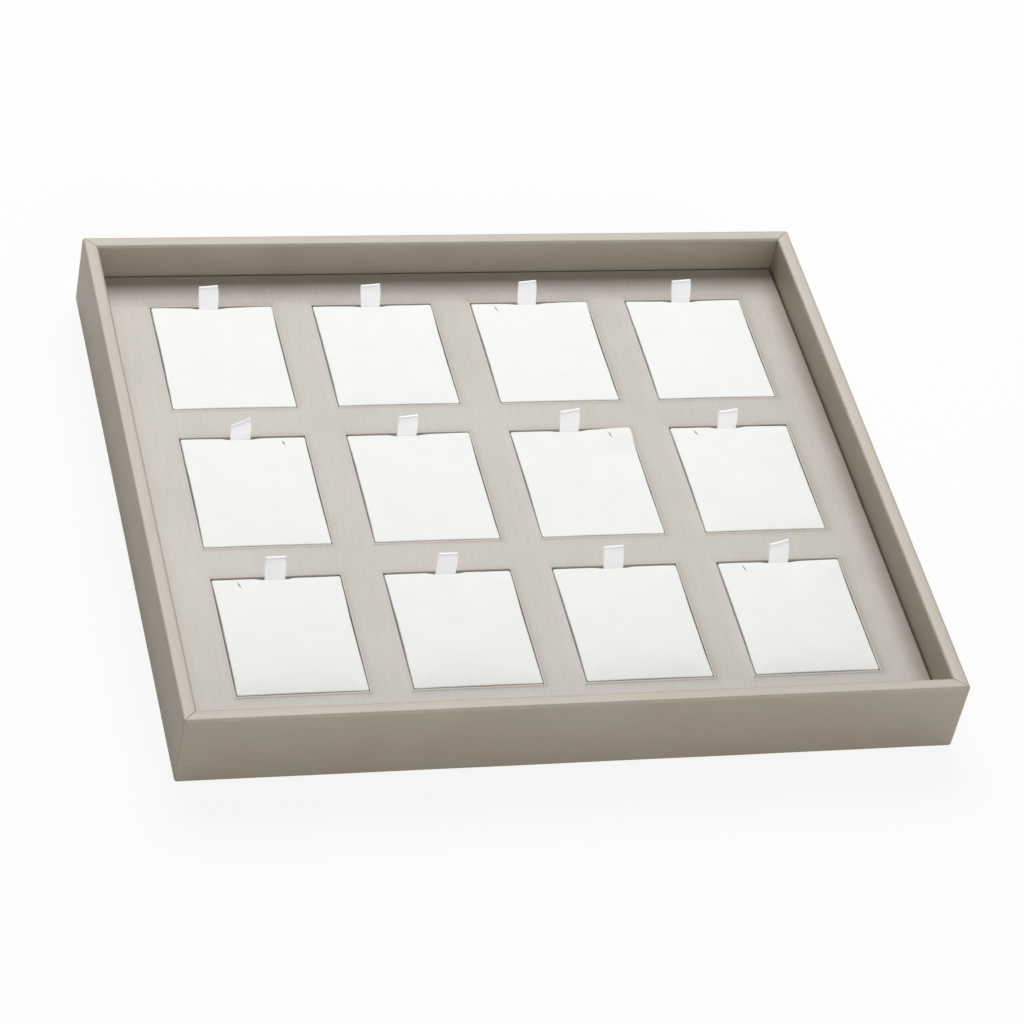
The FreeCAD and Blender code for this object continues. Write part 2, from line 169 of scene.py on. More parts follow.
# white to the camera and in reflections, a weak fill for the tray itself
rays = addNode(tree, "ShaderNodeLightPath")
seen = addNode(
    tree,
    "ShaderNodeMath",
    links={0: (rays, "Is Camera Ray"), 1: (rays, "Is Glossy Ray")},
    operation="MAXIMUM",
)
seen = addNode(
    tree,
    "ShaderNodeMath",
    links={0: (seen, 0), 1: (rays, "Is Transmission Ray")},
    operation="MAXIMUM",
)
blend = addNode(tree, "ShaderNodeMixShader", links={0: (seen, 0), 1: (fill, 0), 2: (backdrop, 0)})
tree.links.new(blend.outputs[0], tree.nodes["World Output"].inputs["Surface"])

for name, (place, size, power) in studio["softboxes"].items():
    softbox = bpy.data.objects.new(name, bpy.data.lights.new(name, "AREA"))
    softbox.data.shape = "RECTANGLE"
    softbox.data.size, softbox.data.size_y = size
    softbox.data.energy = power
    softbox.location = place
    softbox.rotation_euler = (-Vector(place)).to_track_quat("-Z", "Y").to_euler()
    scene.collection.objects.link(softbox)
print("studio set")


# Brushed leatherette: fine streaks one way, a soft satin shine that whitens the faces turned to the light
leatherette = {
    # the dark and light of the streaks; the insert is a cooler batch than the walls
    "wallTint": ("#9f9481", "#aba191"),
    "insertTint": ("#a29b8f", "#afa89f"),
    "streakWidth": 0.35 * mm,
    "streakLength": 9.0 * mm,
    "mottleSize": 22.0 * mm,
    "mottleAmount": 0.12,
    "roughness": 0.48,
    "shine": 0.95,
    "reliefDepth": 0.03 * mm,
}


def brushedLeatherette(name, axis, tint):
    material, tree, shader = newMaterial(name)
    values = leatherette
    dark, light = values[tint]
    scale = [1 / values["streakWidth"]] * 3
    scale[axis] = 1 / values["streakLength"]
    coords = addNode(tree, "ShaderNodeTexCoord")
    stretched = addNode(tree, "ShaderNodeMapping", {"Scale": scale}, {"Vector": (coords, "Object")})
    streaks = addNode(
        tree,
        "ShaderNodeTexNoise",
        {"Scale": 1.0, "Detail": 3.0, "Roughness": 0.65},
        {"Vector": (stretched, 0)},
    )
    mottle = addNode(
        tree,
        "ShaderNodeTexNoise",
        {"Scale": 1 / values["mottleSize"], "Detail": 2.0},
        {"Vector": (coords, "Object")},
    )
    amount = values["mottleAmount"]
    tone = addNode(
        tree,
        "ShaderNodeMapRange",
        {"From Min": 0.3, "From Max": 0.7, "To Min": -amount, "To Max": amount},
        {"Value": (mottle, 0)},
    )
    both = addNode(tree, "ShaderNodeMath", links={0: (streaks, 0), 1: (tone, 0)}, operation="ADD")
    colour = addNode(
        tree,
        "ShaderNodeValToRGB",
        links={0: (both, 0)},
        stops=[(0.25, linear(dark)), (0.75, linear(light))],
    )
    bump = addNode(
        tree, "ShaderNodeBump", {"Strength": 0.5, "Distance": values["reliefDepth"]}, {"Height": (streaks, 0)}
    )
    tree.links.new(colour.outputs[0], shader.inputs["Base Color"])
    tree.links.new(bump.outputs[0], shader.inputs["Normal"])
    shader.inputs["Roughness"].default_value = values["roughness"]
    shader.inputs["Specular IOR Level"].default_value = values["shine"]
    return material


leatheretteAlongX = brushedLeatherette("brushedLeatheretteAlongX", 0, "wallTint")
leatheretteAlongY = brushedLeatherette("brushedLeatheretteAlongY", 1, "wallTint")
insertLeatherette = brushedLeatherette("brushedCoolLeatherette", 1, "insertTint")

# White leatherette: near-white film with faint pores, soft shine
white = {
    "low": "#f5f6f2",
    "high": "#f8f9f5",
    "cloudSize": 9.0 * mm,
    "poreSize": 0.4 * mm,
    "poreDepth": 0.04 * mm,
    "roughness": 0.5,
    "shine": 0.35,
}
whiteLeatherette, tree, shader = newMaterial("whiteEmbossedLeatherette")
coords = addNode(tree, "ShaderNodeTexCoord")
clouds = addNode(
    tree,
    "ShaderNodeTexNoise",
    {"Scale": 1 / white["cloudSize"], "Detail": 2.0},
    {"Vector": (coords, "Object")},
)
pores = addNode(
    tree, "ShaderNodeTexVoronoi", {"Scale": 1 / white["poreSize"]}, {"Vector": (coords, "Object")}
)
colour = addNode(
    tree,
    "ShaderNodeValToRGB",
    links={0: (clouds, 0)},
    stops=[(0.3, linear(white["low"])), (0.7, linear(white["high"]))],
)
bump = addNode(
    tree, "ShaderNodeBump", {"Strength": 0.12, "Distance": white["poreDepth"]}, {"Height": (pores, 0)}
)
tree.links.new(colour.outputs[0], shader.inputs["Base Color"])
tree.links.new(bump.outputs[0], shader.inputs["Normal"])
shader.inputs["Roughness"].default_value = white["roughness"]
shader.inputs["Specular IOR Level"].default_value = white["shine"]

# Satin ribbon: cool white, fine ribs across its length, soft silky shine
satin = {
    "colour": "#fdfdff",
    "ribPitch": 0.3 * mm,
    "ribDepth": 0.03 * mm,
    "roughness": 0.38,
    "shine": 1.0,
    "sheen": 0.2,
    "through": 0.1,
}
satinRibbon, tree, shader = newMaterial("wovenSatinRibbon")
coords = addNode(tree, "ShaderNodeTexCoord")
ribs = addNode(
    tree,
    "ShaderNodeTexWave",
    {"Scale": 2 * math.pi / 20 / satin["ribPitch"], "Distortion": 0.4},
    {"Vector": (coords, "Object")},
    bands_direction="Z",
)
bump = addNode(
    tree, "ShaderNodeBump", {"Strength": 0.2, "Distance": satin["ribDepth"]}, {"Height": (ribs, 0)}
)
tree.links.new(bump.outputs[0], shader.inputs["Normal"])
shader.inputs["Base Color"].default_value = linear(satin["colour"])
shader.inputs["Roughness"].default_value = satin["roughness"]
shader.inputs["Specular IOR Level"].default_value = satin["shine"]
shader.inputs["Sheen Weight"].default_value = satin["sheen"]
# thin ribbon lets the light behind it through
through = addNode(
    tree, "ShaderNodeBsdfTranslucent", {"Color": linear(satin["colour"])}, {"Normal": (bump, 0)}
)
blend = addNode(tree, "ShaderNodeMixShader", {0: satin["through"]}, {1: (shader, 0), 2: (through, 0)})
tree.links.new(blend.outputs[0], tree.nodes["Material Output"].inputs["Surface"])


# Boards and felt: flecked, dull surfaces that throw the light back evenly
def fleckedMaterial(name, low, high, fleckSize, depth):
    material, tree, shader = newMaterial(name)
    coords = addNode(tree, "ShaderNodeTexCoord")
    flecks = addNode(
        tree,
        "ShaderNodeTexNoise",
        {"Scale": 1 / fleckSize, "Detail": 6.0, "Roughness": 0.7},
        {"Vector": (coords, "Object")},
    )
    colour = addNode(
        tree,
        "ShaderNodeValToRGB",
        links={0: (flecks, 0)},
        stops=[(0.35, linear(low)), (0.65, linear(high))],
    )
    bump = addNode(tree, "ShaderNodeBump", {"Strength": 0.6, "Distance": depth}, {"Height": (flecks, 0)})
    tree.links.new(colour.outputs[0], shader.inputs["Base Color"])
    tree.links.new(bump.outputs[0], shader.inputs["Normal"])
    shader.inputs["Roughness"].default_value = 0.9
    shader.inputs["Specular IOR Level"].default_value = 0.2
    return material


rawFibreboard = fleckedMaterial("rawPressedFibreboard", "#a5855f", "#c0a07a", 1.2 * mm, 0.05 * mm)
greyboard = fleckedMaterial("pressedGreyboard", "#948e85", "#b3ada3", 1.5 * mm, 0.05 * mm)
pressedFelt = fleckedMaterial("pressedFelt", "#3a3733", "#4c4843", 0.6 * mm, 0.2 * mm)
print("materials made")


# Wall strips: leatherette from under the foot, up the outside, over the rim and down the inside
strip = {
    "wall": 4.4 * mm,
    "skin": 0.66 * mm,
    "rimRadius": 0.85 * mm,
    "rimSlope": 0.28 * mm,
    "footRadius": 0.9 * mm,
    "innerFoot": 3.95 * mm,
    "cornerRadius": 0.8 * mm,
    "seamGap": 0.03 * mm,
    "seamDepth": 0.07 * mm,
    "seamReach": 0.45 * mm,
    "seamZone": 2.0 * mm,
    "waveDepth": 0.06 * mm,
    "waveSize": 30.0 * mm,
    "waveFade": 12.0 * mm,
    "rimZone": 4.0 * mm,
    "rowStep": 3.0 * mm,
}


def stripSection(low, high, flange, depth):
    # the strip's outline, depth inside its outer face: (how far in from the outer face, height)
    wall, rim, foot = strip["wall"], strip["rimRadius"], strip["footRadius"]
    section = []
    for i in range(4):
        section.append((flange + (foot - flange) * i / 4, low + depth))
    for i in range(6):
        turn = math.radians(90 * i / 5)
        reach = foot - depth
        section.append((foot - reach * math.sin(turn), low + foot - reach * math.cos(turn)))
    for i in range(1, 6):
        section.append((depth, low + foot + (high - rim - low - foot) * i / 6))
    for i in range(6):
        turn = math.radians(90 * i / 5)
        reach = rim - depth
        section.append((rim - reach * math.cos(turn), high - rim + reach * math.sin(turn)))
    for i in range(6):
        turn = math.radians(90 * i / 5)
        reach = rim - depth
        section.append((wall - rim + reach * math.sin(turn), high - rim + reach * math.cos(turn)))
    for i in range(1, 6):
        section.append((wall - depth, high - rim + (strip["innerFoot"] - high + rim) * i / 5))
    # the rim falls a little to the inside
    slope, middle = strip["rimSlope"], high - 0.5 * (high - low)
    return [(x, z - slope * x / wall * smooth(middle, high - rim, z)) for x, z in section]


def buildStrip(wallName, seed):
    low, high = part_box(wallName + "_cover")
    alongX = high.x - low.x > high.y - low.y
    lengthwise = Vector((1, 0, 0)) if alongX else Vector((0, 1, 0))
    centre = (low + high) / 2
    if alongX:
        inward = Vector((0, -1 if centre.y > 0 else 1, 0))
        outer = Vector((0, high.y if centre.y > 0 else low.y, 0))
        halfLength, flange = (high.x - low.x) / 2, high.y - low.y
    else:
        inward = Vector((-1 if centre.x > 0 else 1, 0, 0))
        outer = Vector((high.x if centre.x > 0 else low.x, 0, 0))
        halfLength, flange = (high.y - low.y) / 2, high.x - low.x
    outside = stripSection(low.z, high.z, flange, 0)
    inside = stripSection(low.z, high.z, flange, strip["skin"])
    section = outside + inside[::-1]
    corner, reach = strip["cornerRadius"], strip["seamReach"]
    # rows: (fraction through the rounded corner, or None, and place along the wall from -1 to 1)
    count = round(2 * halfLength / strip["rowStep"])
    ends = [i / 6 for i in range(7)]
    rows = [(s, -1) for s in ends[::-1]]
    rows += [(None, -1 + 2 * i / count) for i in range(1, count)]
    rows += [(s, 1) for s in ends]
    points = []
    for share, place in rows:
        for index, (depth, height) in enumerate(section):
            reachIn = halfLength - max(depth, corner)
            if share is None:
                span = reachIn - reach * min(1, depth / corner)
                along, across = span * place, depth
                fade = smooth(0, strip["waveFade"], reachIn - abs(along))
                lump = strip["waveDepth"] * fade * wobble(along, height, depth, strip["waveSize"], seed)
                nearRim = smooth(high.z - strip["rimZone"], high.z, height)
                if index < len(outside):
                    across += lump * (1 - nearRim)
                    height += 0.3 * lump * nearRim
            else:
                turn = math.radians(45 * share)
                bend = max(corner - depth, 0)
                along = reachIn + bend * math.sin(turn) - (1 - share) * reach * min(1, depth / corner)
                across = depth + bend * (1 - math.cos(turn))
                seam = smooth(0.6, 1, share) * strip["seamDepth"]
                along = (along - strip["seamGap"] * share) * place
                if index < len(outside):
                    # pressed down along the rim, and in from both faces below it
                    height -= seam * smooth(high.z - strip["seamZone"], high.z, height)
                    below = 1 - smooth(high.z - strip["seamZone"], high.z, height)
                    across += seam * below * (1 if depth < strip["wall"] / 2 else -1)
            points.append(outer + lengthwise * along + inward * across + Vector((0, 0, height)))
    size = len(section)
    flip = lengthwise.cross(inward).z < 0
    faces = []
    for row in range(len(rows) - 1):
        for i in range(size):
            j = (i + 1) % size
            face = (row * size + i, row * size + j, (row + 1) * size + j, (row + 1) * size + i)
            faces.append(face if flip else face[::-1])
    for row, turned in ((0, False), (len(rows) - 1, True)):
        for i in range(len(outside) - 1):
            face = (row * size + i, row * size + i + 1, row * size + size - 2 - i, row * size + size - 1 - i)
            faces.append(face if turned == flip else face[::-1])
    material = leatheretteAlongX if alongX else leatheretteAlongY
    piece = addPiece(wallName + "_strip", points, faces, material, sharpAngle=50)
    setIn(piece, "tray", "taupe_leatherette", wallName + "_cover")


for seed, side in enumerate(("front", "back", "left", "right")):
    buildStrip(side + "_wall", seed)
print("wall strips built")

# Insert: foam block under leatherette, its windows turned down with soft edges
insert = {
    "wallGap": 0.25 * mm,
    "edgeRadius": 0.22 * mm,
    "sideGap": 0.5 * mm,
    "frontGap": 0.3 * mm,
    "backGap": 1.2 * mm,
    "step": 2.6 * mm,
    "lipHeight": 0.14 * mm,
    "lipWidth": 0.9 * mm,
    "lumpHeight": 0.05 * mm,
    "lumpSize": 16.0 * mm,
    "edgeWave": 0.12 * mm,
    "edgeWaveSize": 11.0 * mm,
    "edgeWaveFade": 4.0 * mm,
    "foot": 0.02 * mm,
}


def gridLines(low, high, windows):
    # flat spans between the rounded edges, cut into even steps, with finer ones for the windows' lips
    radius, lip = insert["edgeRadius"], insert["lipWidth"]
    ends = [low + radius]
    for start, end in windows:
        ends += [start - radius, end + radius]
    ends.append(high - radius)
    lines, marks = [ends[0]], [0]
    for span, (start, end) in enumerate(zip(ends, ends[1:])):
        fine = [lip * i / 4 for i in range(1, 5)] if span % 2 == 0 else []
        inset = lip if fine else 0
        lines += [start + reach for reach in fine]
        count = max(1, round((end - start - 2 * inset) / insert["step"]))
        lines += [start + inset + (end - start - 2 * inset) * i / count for i in range(1, count + 1)]
        lines += [end - reach for reach in fine[-2::-1] + [0] if fine]
        marks.append(len(lines) - 1)
    return lines, marks


def buildInsert():
    low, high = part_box("insert_cover")
    # drawn in a little, which gives the dark line along the walls
    drawnIn = Vector((insert["wallGap"], insert["wallGap"], 0))
    low, high = low + drawnIn, high - drawnIn
    radius = insert["edgeRadius"]
    columns = [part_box("pad_a%s_cover" % c) for c in "1234"]
    rows = [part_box("pad_%s1_cover" % r) for r in "cba"]
    windowsX = [(b[0].x - insert["sideGap"], b[1].x + insert["sideGap"]) for b in columns]
    windowsY = [(b[0].y - insert["frontGap"], b[1].y + insert["backGap"]) for b in rows]
    linesX, marksX = gridLines(low.x, high.x, windowsX)
    linesY, marksY = gridLines(low.y, high.y, windowsY)
    points, faces = [], []

    def addPoint(x, y, z):
        points.append((x, y, z))
        return len(points) - 1

    def inWindow(i, j):
        return any(marksX[k] <= i < marksX[k + 1] for k in (1, 3, 5, 7)) and any(
            marksY[k] <= j < marksY[k + 1] for k in (1, 3, 5)
        )

    def topHeight(x, y):
        # slightly uneven, with a low lip where the leatherette is turned into the windows
        offX = min(max(start - x, x - end) for start, end in windowsX)
        offY = min(max(start - y, y - end) for start, end in windowsY)
        away = max(offX, offY) - radius
        lip = 1 - smooth(0.3 * insert["lipWidth"], insert["lipWidth"], away)
        lump = wobble(x, y, 0, insert["lumpSize"], 5) - 0.5
        return high.z + insert["lumpHeight"] * lump - insert["lipHeight"] * (1 - lip)

    def edgeLoop(i0, i1, j0, j1):
        loop = [(i, j0) for i in range(i0, i1)] + [(i1, j) for j in range(j0, j1)]
        return loop + [(i, j1) for i in range(i1, i0, -1)] + [(i0, j) for j in range(j1, j0, -1)]

    used = {}
    floorPoints = {}
    floorHeight = low.z + insert["foot"]
    for i in range(len(linesX)):
        for j in range(len(linesY)):
            around = [(a, b) for a in (i - 1, i) for b in (j - 1, j)]
            around = [(a, b) for a, b in around if 0 <= a < len(linesX) - 1 and 0 <= b < len(linesY) - 1]
            if not all(inWindow(a, b) for a, b in around):
                used[i, j] = addPoint(linesX[i], linesY[j], topHeight(linesX[i], linesY[j]))
    for i in range(len(linesX) - 1):
        for j in range(len(linesY) - 1):
            if not inWindow(i, j):
                faces.append((used[i, j], used[i + 1, j], used[i + 1, j + 1], used[i, j + 1]))

    def turnDown(loop, i0, i1, j0, j1, outward):
        # rounds the edge and takes it down to the foot; outward is 1 at the rim, -1 in a window
        rings = [[used[p] for p in loop]]
        for k in range(1, 6):
            turn = math.radians(18 * k)
            rings.append([])
            for i, j in loop:
                x, y = linesX[i], linesY[j]
                wave = 0
                if outward < 0:
                    wave = insert["edgeWave"] * wobble(x, y, 0, insert["edgeWaveSize"], 3 + i0)
                    wave *= smooth(0, insert["edgeWaveFade"], abs(x - linesX[i0]) + abs(y - linesY[j0]))
                shift = radius * math.sin(turn)
                dx = (-1 if i == i0 else 1 if i == i1 else 0) * outward
                dy = (-1 if j == j0 else 1 if j == j1 else 0) * outward
                z = topHeight(x, y) - radius * (1 - math.cos(turn))
                z += 0.4 * wave * math.sin(turn) * math.cos(turn)
                rings[-1].append(addPoint(x + dx * shift, y + dy * shift, z))
        last = rings[-1]
        for k in range(1, 4):
            rings.append([])
            for index in last:
                x, y, z = points[index]
                rings[-1].append(addPoint(x, y, z + (floorHeight - z) * k / 3))
        count = len(loop)
        for ring, lower in zip(rings, rings[1:]):
            for a in range(count):
                b = (a + 1) % count
                face = (ring[a], ring[b], lower[b], lower[a])
                faces.append(face[::-1] if outward > 0 else face)
        return rings[-1]

    rim = edgeLoop(0, len(linesX) - 1, 0, len(linesY) - 1)
    rimFoot = turnDown(rim, 0, len(linesX) - 1, 0, len(linesY) - 1, 1)
    floorPoints.update(zip(rim, rimFoot))
    for kx in (1, 3, 5, 7):
        for ky in (1, 3, 5):
            span = (marksX[kx], marksX[kx + 1], marksY[ky], marksY[ky + 1])
            loop = edgeLoop(*span)
            floorPoints.update(zip(loop, turnDown(loop, *span, -1)))
    for i, j in used:
        if (i, j) not in floorPoints:
            floorPoints[i, j] = addPoint(linesX[i], linesY[j], floorHeight)
    for i in range(len(linesX) - 1):
        for j in range(len(linesY) - 1):
            if not inWindow(i, j):
                corners = ((i, j), (i, j + 1), (i + 1, j + 1), (i + 1, j))
                faces.append(tuple(floorPoints[corner] for corner in corners))
    piece = addPiece("covered_insert", points, faces, insertLeatherette, sharpAngle=55)
    setIn(piece, "tray", "taupe_leatherette", "insert_cover", "insert_block")


buildInsert()
print("insert built")

# Felt sheet stuck under the tray
felt = {"step": 6.0 * mm, "lump": 0.06 * mm, "lumpSize": 20.0 * mm}
low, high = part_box("bottom_lining")
countX = round((high.x - low.x) / felt["step"])
countY = round((high.y - low.y) / felt["step"])
points, faces = [], []
for level in (low.z, high.z):
    for i in range(countX + 1):
        for j in range(countY + 1):
            x = low.x + (high.x - low.x) * i / countX
            y = low.y + (high.y - low.y) * j / countY
            lift = 0
            if level == low.z:
                lift = felt["lump"] * (0.5 + 0.5 * wobble(x, y, level, felt["lumpSize"], 9))
            points.append((x, y, level + lift))
size = (countX + 1) * (countY + 1)
for i in range(countX):
    for j in range(countY):
        a, b = i * (countY + 1) + j, (i + 1) * (countY + 1) + j
        faces.append((a, a + 1, b + 1, b))
        faces.append((size + a, size + b, size + b + 1, size + a + 1))
border = [i * (countY + 1) for i in range(countX)]
border += [countX * (countY + 1) + j for j in range(countY)]
border += [i * (countY + 1) + countY for i in range(countX, 0, -1)]
border += list(range(countY, 0, -1))
for a, b in zip(border, border[1:] + border[:1]):
    faces.append((a, b, size + b, size + a))
lining = addPiece("felt_lining", points, faces, pressedFelt, sharpAngle=50)
setIn(lining, "tray", "felt", "bottom_lining")
print("felt laid")

# Earring pads: sponge on a stiff board, wrapped in white leatherette by hand
pad = {
    "crown": 0.7 * mm,
    "lift": 0.15 * mm,
    "startRise": 0.25 * mm,
    "edgeRadius": 0.35 * mm,
    "footRadius": 0.6 * mm,
    "reachLeft": 0.40 * mm,
    "reachRight": 0.44 * mm,
    "reachFront": 0.26 * mm,
    "reachBack": 0.55 * mm,
    "sideDraw": 0.24 * mm,
    "endDraw": 0.04 * mm,
    "ribbonDent": 0.45 * mm,
    "dentHalf": 3.5 * mm,
    "dentEnd": 6.0 * mm,
    "edgeWave": 0.11 * mm,
    "waveSize": 9.0 * mm,
    "sideShares": (0.85, 0.62, 0.35, 0.12),
    "heldShare": 0.2,
    "step": 1.0 * mm,
    "flap": 7.0 * mm,
    "skin": 0.72 * mm,
    "notch": 6.8 * mm,
    "mitreGap": 0.15 * mm,
    "slitLength": 3.2 * mm,
    "slitSide": 7.0 * mm,
    "slitBack": 0.2 * mm,
    "slitLean": 0.8 * mm,
    "slitDepth": 1.6 * mm,
    "openSlit": 0.5 * mm,
    "shutSlit": 0.04 * mm,
    "cutOverrun": 1.0 * mm,
    "pressure": 4.0,
    "stretchStiffness": 15,
    "bendStiffness": 2,
    "airDamping": 3,
    "simScale": 10.0,
    "simFrames": 20,
    "sideCap": 0.03 * mm,
}
# the slits that stand open in the photograph: pad, then -1 for the left one and 1 for the right one
openSlits = {("a3", -1), ("b1", 1), ("b3", 1), ("b4", -1), ("c1", -1), ("c4", -1)}
# how far the back edge curls up at its left and right end, in mm
curls = {
    "a1": (0.5, 0.5), "a2": (0.1, 0.2), "a3": (0.15, 0.5), "a4": (0.25, 0.4),
    "b1": (0.3, 0.05), "b2": (0.1, 0.4), "b3": (0.0, 0.9), "b4": (0.15, 0.1),
    "c1": (0.05, 0.1), "c2": (0.2, 0.0), "c3": (0.05, 0.05), "c4": (0.1, 0.25),
}
# how each tab stands, in mm: its foot's shift to the right of the pad's middle, then how far right
# and how high its left and right top corners are, from the pad's middle and the ribbon's root
tabShapes = {
    "a1": (-0.9, -4.75, 9.1, 1.0, 9.6),
    "a2": (-0.5, -4.6, 8.9, 1.35, 9.4),
    "a3": (-0.7, -4.7, 9.4, 0.7, 10.0),
    "a4": (-0.6, -5.0, 9.0, 0.9, 9.5),
    "b1": (-0.65, -4.0, 5.8, 1.6, 8.5),
    "b2": (-0.5, -3.85, 7.8, 1.85, 8.4),
    "b3": (-0.35, -4.4, 8.5, 1.45, 9.5),
    "b4": (-0.65, -4.35, 7.0, 1.5, 7.9),
    "c1": (-0.35, -4.05, 9.1, 1.8, 9.2),
    "c2": (-0.5, -3.65, 8.4, 2.0, 8.4),
    "c3": (-0.35, -4.7, 8.9, 1.1, 9.3),
    "c4": (0.15, -4.0, 7.7, 1.5, 9.4),
}


def startForm(name, seed):
    # closed wrapped block with a part of its crown, drawn-in sides and a slightly uneven rim
    low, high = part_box("pad_%s_cover" % name)
    width, length, height = high.x - low.x, high.y - low.y, high.z - low.z + pad["lift"]
    edge, foot = pad["edgeRadius"], pad["footRadius"]
    shoulder = height - pad["crown"]
    countX, countY = round(width / pad["step"]), round(length / pad["step"])
    shift = tabShapes[name][0] * mm
    points, free = [], []

    def addPoint(s, t, inset, level, isFree):
        x = s * (width / 2 + pad["reachRight" if s > 0 else "reachLeft"] - inset)
        y = t * (length / 2 + pad["reachBack" if t > 0 else "reachFront"] - inset)
        nearRibbon = 1 - smooth(pad["dentHalf"], pad["dentEnd"], abs(x - shift)) if t > 0 else 0
        wave = pad["edgeWave"] * wobble(x, y, level, pad["waveSize"], seed)
        sidePull = pad["sideDraw"] * (1 - t * t) + wave
        endPull = pad["endDraw"] * (1 - s * s)
        if t > 0:
            wave = pad["edgeWave"] * wobble(y, x, level, pad["waveSize"], seed + 3)
            endPull += (1 - nearRibbon) * wave
        upper = min(1, level / (2 * foot))
        x -= math.copysign(abs(s) ** 8, s) * sidePull * upper
        y -= math.copysign(abs(t) ** 8, t) * (endPull * upper + nearRibbon * pad["ribbonDent"])
        spread = (s * s * width * width + t * t * length * length) / (width * width + length * length)
        rise = pad["startRise"] * (1 - spread)
        curl = curls[name][1 if s > 0 else 0] * mm * smooth(0.05, 1.0, abs(s)) * smooth(0.5, 1.0, t)
        upper = smooth(shoulder - 3 * edge, shoulder, level)
        points.append(Vector((x, y, level + upper * (rise + curl))))
        free.append(isFree)
        return len(points) - 1

    top = {}
    for i in range(countX + 1):
        for j in range(countY + 1):
            top[i, j] = addPoint(2 * i / countX - 1, 2 * j / countY - 1, edge, shoulder, True)
    loop = [(i, 0) for i in range(countX)] + [(countX, j) for j in range(countY)]
    loop += [(i, countY) for i in range(countX, 0, -1)] + [(0, j) for j in range(countY, 0, -1)]
    # rings from the top edge to the underside: (how far in from the pad's side, height)
    levels = []
    for turn in map(math.radians, (20, 42, 66, 90)):
        levels.append((edge * (1 - math.sin(turn)), shoulder - edge * (1 - math.cos(turn))))
    side = shoulder - edge - foot
    levels += [(0, foot + side * share) for share in pad["sideShares"]]
    for turn in map(math.radians, (0, 30, 60, 90)):
        levels.append((foot * (1 - math.cos(turn)), foot * (1 - math.sin(turn))))
    rings = [[top[p] for p in loop]]
    for inset, level in levels:
        rings.append([])
        for i, j in loop:
            isFree = level > shoulder - edge - pad["heldShare"] * side
            rings[-1].append(addPoint(2 * i / countX - 1, 2 * j / countY - 1, inset, level, isFree))
    bottom = dict(zip(loop, rings[-1]))
    for i in range(1, countX):
        for j in range(1, countY):
            bottom[i, j] = addPoint(2 * i / countX - 1, 2 * j / countY - 1, foot, 0, False)
    faces = []
    for i in range(countX):
        for j in range(countY):
            faces.append((top[i, j], top[i + 1, j], top[i + 1, j + 1], top[i, j + 1]))
            faces.append((bottom[i, j], bottom[i, j + 1], bottom[i + 1, j + 1], bottom[i + 1, j]))
    count = len(loop)
    for ring, lower in zip(rings, rings[1:]):
        for a in range(count):
            b = (a + 1) % count
            faces.append((ring[a], lower[a], lower[b], ring[b]))
    middle = Vector(((low.x + high.x) / 2, (low.y + high.y) / 2, low.z))
    return {
        "points": points,
        "free": free,
        "faces": faces,
        "middle": middle,
        "width": width,
        "length": length,
        "height": height,
        "topCount": len(top),
    }


def inflate(forms):
    # every pad is a cloth skin under pressure, held along its lower sides and underside where it is glued
    skins = {}
    scale = pad["simScale"]
    for name, form in forms.items():
        mesh = bpy.data.meshes.new("skin_" + name)
        mesh.from_pydata([p * scale for p in form["points"]], [], form["faces"])
        skin = bpy.data.objects.new("skin_" + name, mesh)
        scene.collection.objects.link(skin)
        held = skin.vertex_groups.new(name="held")
        held.add([i for i, isFree in enumerate(form["free"]) if not isFree], 1.0, "REPLACE")
        cloth = skin.modifiers.new("swell", "CLOTH")
        cloth.settings.vertex_group_mass = "held"
        cloth.settings.use_pressure = True
        cloth.settings.uniform_pressure_force = pad["pressure"]
        cloth.settings.tension_stiffness = pad["stretchStiffness"]
        cloth.settings.bending_stiffness = pad["bendStiffness"]
        cloth.settings.air_damping = pad["airDamping"]
        cloth.settings.effector_weights.gravity = 0
        cloth.point_cache.frame_start = 1
        cloth.point_cache.frame_end = pad["simFrames"]
        skins[name] = skin
    for step in range(1, pad["simFrames"] + 1):
        scene.frame_set(step)
    graph = bpy.context.evaluated_depsgraph_get()
    swollen = {}
    for name, skin in skins.items():
        result = skin.evaluated_get(graph).data
        swollen[name] = [v.co / scale for v in result.vertices]
    for skin in skins.values():
        bpy.data.objects.remove(skin)
    scene.frame_set(1)
    return swollen


def crownPad(form, swollen):
    # keeps the shape of the swelling, brought to the pad's height, with its sideways part capped
    points = [p.copy() for p in form["points"]]
    if swollen:
        lift = [after.z - before.z for before, after in zip(form["points"], swollen)]
    else:
        lift = []
        for p in form["points"]:
            s, t = 2 * p.x / form["width"], 2 * p.y / form["length"]
            lift.append(max(0, (1 - s * s) * (1 - t * t)) * mm)
        lift = [value if isFree else 0 for value, isFree in zip(lift, form["free"])]
    peak = max(lift[:form["topCount"]])
    highest = max(p.z for p in points)
    share = (form["height"] - highest) / peak
    cap = pad["sideCap"]
    for index, p in enumerate(points):
        p.z += share * lift[index]
        if swollen:
            before, after = form["points"][index], swollen[index]
            p.x += max(-cap, min(cap, share * (after.x - before.x)))
            p.y += max(-cap, min(cap, share * (after.y - before.y)))
    return points


def prism(points, faces, outline, low, high):
    # an upright prism on the outline
    first, count = len(points), len(outline)
    for level in (low, high):
        for x, y in outline:
            points.append((x, y, level))
    faces.append(tuple(range(first + count - 1, first - 1, -1)))
    faces.append(tuple(range(first + count, first + 2 * count)))
    for a in range(count):
        b = (a + 1) % count
        faces.append((first + a, first + b, first + count + b, first + count + a))


